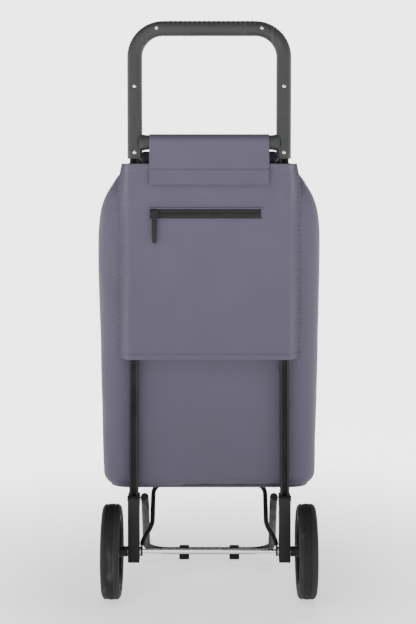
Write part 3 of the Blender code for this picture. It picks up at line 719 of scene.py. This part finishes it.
def make_lid():
    line = lid_line()
    half = LID_HIGH.x
    rows = []
    for y, z in line:
        row = []
        for share in np.linspace(-1, 1, 110):
            x = share * (half + 0.001)
            over = max(0.0, abs(share) - 0.86) / 0.14
            fall = LID_SIDE_FALL * over ** 2 * (1.0 if z > LID_HIGH.z - 0.03 else 0.35)
            wave = 0.0012 * noise.noise(Vector((x * 13, y * 16, z * 12)))
            front = 1.0 if y > LID_HIGH.y - 0.004 else 0.0
            row.append(Vector((x, y + min(wave, 0.001) * front, z - fall * (1 - front)
                               + wave * (1 - front))))
        rows.append(row)
    lid = new_piece("lid_cloth", grid_mesh(rows), FABRIC, (LINING,))
    face_out(lid.data)
    smooth(lid.data, 60)
    thicken(lid, CLOTH * 1.2, -1, 1)
    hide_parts("lid_panel")
    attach(lid, "lid")
    fold_flat(lid)
    border = [row[0] for row in rows] + rows[-1] + [row[-1] for row in reversed(rows)]
    binding = tube("lid_binding", border, LID_PIPING, BINDING)
    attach(binding, "lid")
    fold_flat(binding)
    hem_z = LID_LOW.z + 0.012
    hem = [Vector((x, LID_HIGH.y + 0.0004, hem_z)) for x in np.linspace(-half, half, 70)]
    seam = stitches("lid_stitching", [hem], (0, 1, 0), "lid", LID_ANCHOR)


# ---------------------------------------------------------------- zip


TOOTH_PITCH = 0.0016
TOOTH_SIZE = (0.00055, 0.0005, 0.0019)
POCKET_LIP_RADIUS = 0.0014


def make_zip():
    z = (TAPE_LOW.z + TAPE_HIGH.z) / 2
    tape = refine("zip_tape", 0.0002, "zip_tape_cloth", ZIP_CLOTH)
    smooth(tape.data, 30)
    shape = bmesh.new()
    pitch = TOOTH_PITCH
    count = int((TAPE_HIGH.x - TAPE_LOW.x - 0.006) / pitch)
    for tooth in range(count):
        x = TAPE_LOW.x + 0.003 + tooth * pitch
        way = 1 if tooth % 2 else -1
        place = Matrix.Translation((x, TAPE_LOW.y - 0.0002, z + way * 0.0008))
        size = Matrix.Diagonal((*TOOTH_SIZE, 1))
        bmesh.ops.create_icosphere(shape, subdivisions=1, radius=1, matrix=place @ size)
    mesh = bpy.data.meshes.new("zip_teeth")
    shape.to_mesh(mesh)
    shape.free()
    smooth(mesh, 80)
    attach(new_piece("zip_teeth", mesh, BLACK_PLASTIC), "frame")
    inset = 0.0012
    for name, lip_z in (("upper", TAPE_HIGH.z + inset), ("lower", TAPE_LOW.z - inset)):
        line = [Vector((x, TAPE_LOW.y + 0.0008 + 0.0002 * math.sin(x * 160), lip_z))
                for x in np.linspace(TAPE_LOW.x - 0.002, TAPE_HIGH.x + 0.002, 50)]
        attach(tube(f"pocket_lip_{name}", line, POCKET_LIP_RADIUS, FABRIC), "frame")
    refine("zip_slider", 0.0006)
    make_pull()


def make_pull():
    """Slim plain tab, rounded at both ends."""
    low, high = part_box("zip_pull")
    middle = (low + high) / 2
    half = (high.x - low.x) / 2
    outline = arc((0, high.z - middle.z - half), half, 0, 180, 12)
    outline += arc((0, low.z - middle.z + 0.0025), half * 0.94, 200, 340, 8)
    rows = []
    for y, share in ((-1, 0.86), (-0.7, 1.0), (0.7, 1.0), (1, 0.86)):
        rows.append([Vector((x * share, y * (high.y - low.y) / 2, z * (0.97 + 0.03 * share)))
                     for x, z in outline])
    mesh = grid_mesh(rows, closed=True, cap=True)
    shape = bmesh.new()
    shape.from_mesh(mesh)
    bmesh.ops.holes_fill(shape, edges=[edge for edge in shape.edges if edge.is_boundary])
    bmesh.ops.recalc_face_normals(shape, faces=shape.faces)
    shape.to_mesh(mesh)
    shape.free()
    mesh.transform(Matrix.Translation(middle))
    smooth(mesh, 35)
    pull = new_piece("zip_pull_tab", mesh, BLACK_PLASTIC)
    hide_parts("zip_pull")
    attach(pull, "pull")


# ---------------------------------------------------------------- handle


HANDLE_HALF_WIDTH = 0.0130
HANDLE_HALF_DEPTH = AXLE.y - HANDLE_LOW.y
HANDLE_BEND = 0.049
HANDLE_SKIN = 0.0022
SHELL_GAP = 0.0003               # half of the line where the two shells meet
LIP = 0.0005                     # the shells' edges are drawn in by this much
DOT_PITCH = 0.0082
DOT_SIZE = (0.0016, 0.0010, 0.0016)
DOT_TILTS = (12, 38, 64)         # rows of grip dots, degrees up from the rear


def handle_path(steps=18):
    """Middle line of the U handle, in x and z."""
    radius = HANDLE_HALF_WIDTH
    top = HANDLE_HIGH.z - radius
    leg_x = HANDLE_HIGH.x - radius
    bend = HANDLE_BEND
    left = arc((-leg_x + bend, top - bend), bend, 180, 90, steps)
    right = arc((leg_x - bend, top - bend), bend, 90, 0, steps)
    legs = np.linspace(HANDLE_LOW.z, top - bend, 14)[:-1]
    line = [(-leg_x, z) for z in legs] + left
    line += [(x, top) for x in np.linspace(-leg_x + bend, leg_x - bend, 20)[1:-1]] + right
    line += [(leg_x, z) for z in legs[::-1]]
    return [Vector((x, 0, z)) for x, z in line]


def make_handle():
    line = handle_path()
    for name, node, way in (("handle_rear_skin", "handle_rear_shell", -1),
                            ("handle_front_skin", "handle_front_shell", 1)):
        rows = []
        for index, place in enumerate(line):
            before = line[max(index - 1, 0)]
            after = line[min(index + 1, len(line) - 1)]
            along = (after - before).normalized()
            across = Vector((along.z, 0, -along.x))
            row = []
            for step in range(25):
                angle = math.pi * step / 24
                lip = LIP if step in (0, 24) else 0.0
                out = across * math.cos(angle) * (HANDLE_HALF_WIDTH - lip)
                depth = way * (SHELL_GAP + (HANDLE_HALF_DEPTH - SHELL_GAP) * math.sin(angle))
                row.append(place + out + Vector((0, AXLE.y + depth, 0)))
            rows.append(row)
        skin = new_piece(name, grid_mesh(rows), GREY_PLASTIC)
        face_out(skin.data)
        smooth(skin.data, 50)
        thicken(skin, HANDLE_SKIN)
        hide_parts(node)
        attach(skin, "frame")
    make_grip_dots()
    for number in range(1, 7):
        make_screw(f"handle_screw_{number}")


def make_grip_dots():
    """Staggered rows of small raised dots on the back and top of the grip."""
    shape = bmesh.new()
    top = HANDLE_HIGH.z - HANDLE_HALF_WIDTH
    for row, tilt in enumerate(DOT_TILTS):
        angle = math.radians(tilt)
        out = Vector((0, -math.cos(angle) * HANDLE_HALF_DEPTH, math.sin(angle) * HANDLE_HALF_WIDTH))
        for step in range(-9, 10):
            x = (step + 0.5 * (row % 2)) * DOT_PITCH
            place = Matrix.Translation(Vector((x, AXLE.y, top)) + out)
            size = Matrix.Diagonal((*DOT_SIZE, 1))
            bmesh.ops.create_icosphere(shape, subdivisions=2, radius=1, matrix=place @ size)
    mesh = bpy.data.meshes.new("grip_dots")
    shape.to_mesh(mesh)
    shape.free()
    smooth(mesh, 80)
    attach(new_piece("grip_dots", mesh, GREY_PLASTIC), "frame")


def make_screw(node):
    """Pan head with a cross recess."""
    low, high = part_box(node)
    middle = (low + high) / 2
    radius = (high.x - low.x) / 2
    profile = [(0.0002, -0.0004)] + [(radius * math.sin(a), 0.0016 * math.cos(a) - 0.0010)
                                     for a in np.linspace(0.15, 1.5, 7)] + [(radius, -0.0022),
                                                                            (0.0002, -0.0022)]
    mesh = turned_mesh(profile, 24)
    mesh.transform(Matrix.Rotation(-math.pi / 2, 4, "Z"))
    mesh.transform(Matrix.Translation((middle.x, low.y + 0.0004, middle.z)))
    screw = new_piece(f"{node}_head", mesh, CHROME)
    for turn in (45, 135):
        cutter_mesh = bpy.data.meshes.new("cross")
        shape = bmesh.new()
        size = Matrix.Diagonal((radius * 1.1, 0.0016, 0.0007, 1))
        place = Matrix.Translation((middle.x, low.y, middle.z))
        bmesh.ops.create_cube(shape, size=1,
                              matrix=place @ Matrix.Rotation(math.radians(turn), 4, "Y") @ size)
        shape.to_mesh(cutter_mesh)
        shape.free()
        cutter = bpy.data.objects.new("cross", cutter_mesh)
        bpy.context.scene.collection.objects.link(cutter)
        recess = screw.modifiers.new("recess", "BOOLEAN")
        recess.operation = "DIFFERENCE"
        recess.object = cutter
        bake(screw)
        bpy.data.objects.remove(cutter, do_unlink=True)
    smooth(screw.data, 40)
    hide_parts(node)
    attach(screw, "frame")


# ---------------------------------------------------------------- wheels


def tyre_outline(low, high, outer, inner):
    """Section with rounded shoulders and grooves round the tread."""
    shoulder = 0.0095
    grooves = 5
    left = low + shoulder
    right = high - shoulder
    outline = [(inner, high - 0.002), (inner + 0.004, high - 0.0006)]
    outline += [(r, x) for x, r in arc((right, outer - shoulder), shoulder, 0, 72, 6)]
    pitch = (right - left) / grooves
    for index in range(grooves):
        x = right - index * pitch
        crown = outer - 0.0004 * abs(index - grooves / 2 + 0.5)
        outline += [(crown, x - pitch * 0.12), (crown, x - pitch * 0.72),
                    (crown - 0.0013, x - pitch * 0.80), (crown - 0.0013, x - pitch * 0.96)]
    outline += [(r, x) for x, r in arc((left, outer - shoulder), shoulder, 108, 180, 6)]
    outline += [(inner + 0.004, low + 0.0006), (inner, low + 0.002)]
    return outline


def make_wheels():
    for side, sign in SIDES:
        low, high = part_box(f"tyre_{side}")
        outer = AXLE.z - low.z
        mesh = turned_mesh(tyre_outline(low.x, high.x, outer, 0.0662), 128)
        mesh.transform(Matrix.Translation((0, AXLE.y, AXLE.z)))
        smooth(mesh, 35)
        tyre = new_piece(f"tyre_{side}_ribbed", mesh, TYRE)
        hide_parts(f"tyre_{side}")
        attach(tyre, f"wheel_{side}")
        refine(f"wheel_rim_{side}", 0.0007)
        refine(f"hub_cap_{side}", 0.0003)
        refine(f"hub_bush_{side}", 0.0002)


# ---------------------------------------------------------------- stage


HORIZON_STRENGTH = 3.8           # the white wall of the studio, all round
CEILING_STRENGTH = 0.10
FLOOR_GLOW = (0.95, 3.3)         # near the object, and where the floor runs up into the wall


def studio_world():
    """White wall low down all round, dimmer towards the ceiling."""
    world = bpy.data.worlds.new("studio_world")
    world.use_nodes = True
    tree = world.node_tree
    direction = tree.nodes.new("ShaderNodeTexCoord").outputs["Generated"]
    split = tree.nodes.new("ShaderNodeSeparateXYZ")
    tree.links.new(direction, split.inputs[0])
    fade = tree.nodes.new("ShaderNodeMapRange")
    fade.interpolation_type = "SMOOTHSTEP"
    fade.inputs["From Min"].default_value = 0.12
    fade.inputs["From Max"].default_value = 0.32
    fade.inputs["To Min"].default_value = HORIZON_STRENGTH
    fade.inputs["To Max"].default_value = CEILING_STRENGTH
    tree.links.new(split.outputs["Z"], fade.inputs["Value"])
    background = tree.nodes["Background"]
    background.inputs["Color"].default_value = (1, 1, 1, 1)
    tree.links.new(fade.outputs["Result"], background.inputs["Strength"])
    return world


def floor_glow(nodes):
    """Light of the floor far from the object, by distance from the middle."""
    flat = nodes.add("ShaderNodeVectorMath", operation="LENGTH")
    nodes.link(nodes.coords, flat.inputs[0])
    return nodes.range(flat.outputs["Value"], *FLOOR_GLOW, 0.25, 1.1)


def make_stage():
    bpy.ops.mesh.primitive_plane_add(size=60, location=(0, 0, 0))
    floor = bpy.context.object
    floor.name = "studio_floor"
    nodes = Nodes("pale_floor")
    patches = nodes.noise(2, 2)
    nodes.finish(nodes.ramp(patches, (0.93, 0.93, 0.93), (0.95, 0.95, 0.95)),
                 nodes.range(patches, 0.55, 0.65), nodes.bump(patches, 0.02, 0.001))
    nodes.shader.inputs["Emission Color"].default_value = (1, 1, 1, 1)
    nodes.link(floor_glow(nodes), nodes.shader.inputs["Emission Strength"])
    floor.data.materials.append(nodes.material)
    bpy.context.scene.world = studio_world()
    for name, place, size, power in (("key", (-0.35, -1.15, 1.75), 0.9, 13),
                                     ("front", (0.6, 1.5, 1.9), 1.2, 12)):
        light = bpy.data.lights.new(name, "AREA")
        light.size = size
        light.energy = power
        lamp = bpy.data.objects.new(name, light)
        bpy.context.scene.collection.objects.link(lamp)
        lamp.location = place
        aim = Vector((0, 0, 0.5)) - Vector(place)
        lamp.rotation_euler = aim.to_track_quat("-Z", "Y").to_euler()


CAMERA_DISTANCE = 2.6            # behind the axle
CAMERA_HEIGHT = 0.78
CAMERA_PITCH = 3.0
CAMERA_LENS = 87
CAMERA_SHIFT = (-0.002, -0.131)


def make_camera():
    camera = bpy.data.objects.new("camera", bpy.data.cameras.new("camera"))
    bpy.context.scene.collection.objects.link(camera)
    camera.location = (0, AXLE.y - CAMERA_DISTANCE, CAMERA_HEIGHT)
    camera.rotation_euler = (math.pi / 2 - math.radians(CAMERA_PITCH), 0, 0)
    camera.data.sensor_fit = "VERTICAL"
    camera.data.sensor_height = 36
    camera.data.lens = CAMERA_LENS
    camera.data.shift_x, camera.data.shift_y = CAMERA_SHIFT
    bpy.context.scene.camera = camera


# ---------------------------------------------------------------- build

make_camera()
make_stage()
make_bag()
make_sleeve()
make_strap()
make_lid()
make_lid_roll()
make_zip()
make_handle()
make_wheels()
for plain_node, rounding in (("handle_crossbar", 0.0004), ("wheel_bracket_left", 0.0009),
                             ("wheel_bracket_right", 0.0009), ("upright_left", 0.0005),
                             ("upright_right", 0.0005), ("foot_tube", 0), ("support_hoop", 0),
                             ("foot_pad_left", 0), ("foot_pad_right", 0), ("axle", 0),
                             ("axle_washer_left", 0.0002), ("axle_washer_right", 0.0002),
                             ("axle_push_nut_left", 0), ("axle_push_nut_right", 0),
                             ("foot_pivot_pin_left", 0.0004), ("foot_pivot_pin_right", 0.0004),
                             ("base_board", 0)):
    refine(plain_node, rounding)
for side, _ in SIDES:
    fold_flat(refine(f"lid_stud_{side}", 0.0002))
